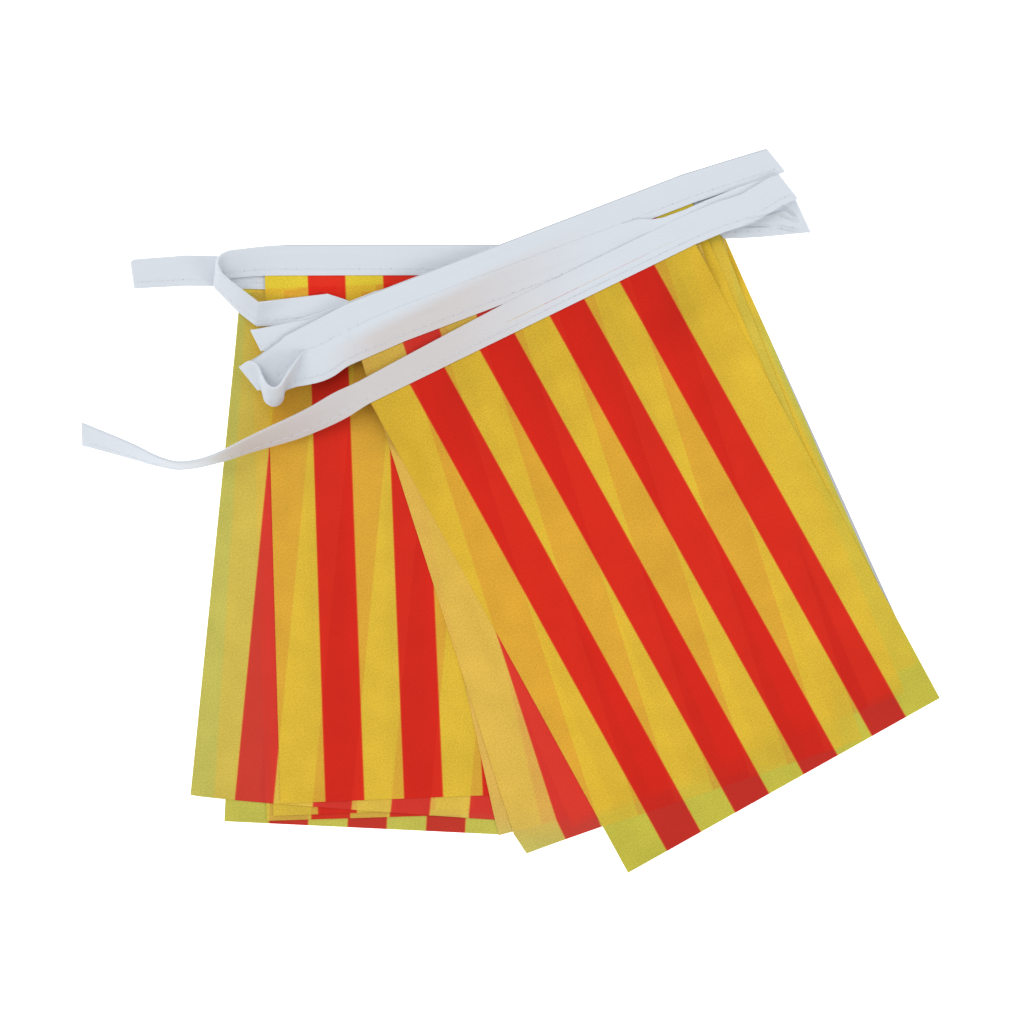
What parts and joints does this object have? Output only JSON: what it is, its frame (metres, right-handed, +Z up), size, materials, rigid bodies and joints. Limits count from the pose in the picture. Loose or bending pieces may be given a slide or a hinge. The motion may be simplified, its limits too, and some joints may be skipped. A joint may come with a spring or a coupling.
{
  "type": "folded string-flag bunting",
  "caption": "Length of string-flag bunting: sheer striped flags sewn into a white folded tape, folded back and forth and laid flat in fanned piles, a tape end left loose.",
  "frame": {"origin": "middle of the bunting's outline seen from above, on the surface that it lies on", "axes": "+X along the header tape to the right, +Y from the flags' hems up towards the tape, +Z up"},
  "size_m": [0.3342, 0.282, 0.023],
  "materials": {
    "flag_cloth": "matte",
    "tape_cloth": "matte"
  },
  "bodies": {
    "root": {"flag_1": "flag_cloth", "flag_2": "flag_cloth", "flag_3": "flag_cloth", "flag_4": "flag_cloth", "flag_5": "flag_cloth", "flag_6": "flag_cloth", "flag_7": "flag_cloth", "flag_8": "flag_cloth", "flag_9": "flag_cloth", "flag_10": "flag_cloth", "flag_11": "flag_cloth", "header_tape": "tape_cloth"}
  },
  "joints": []
}
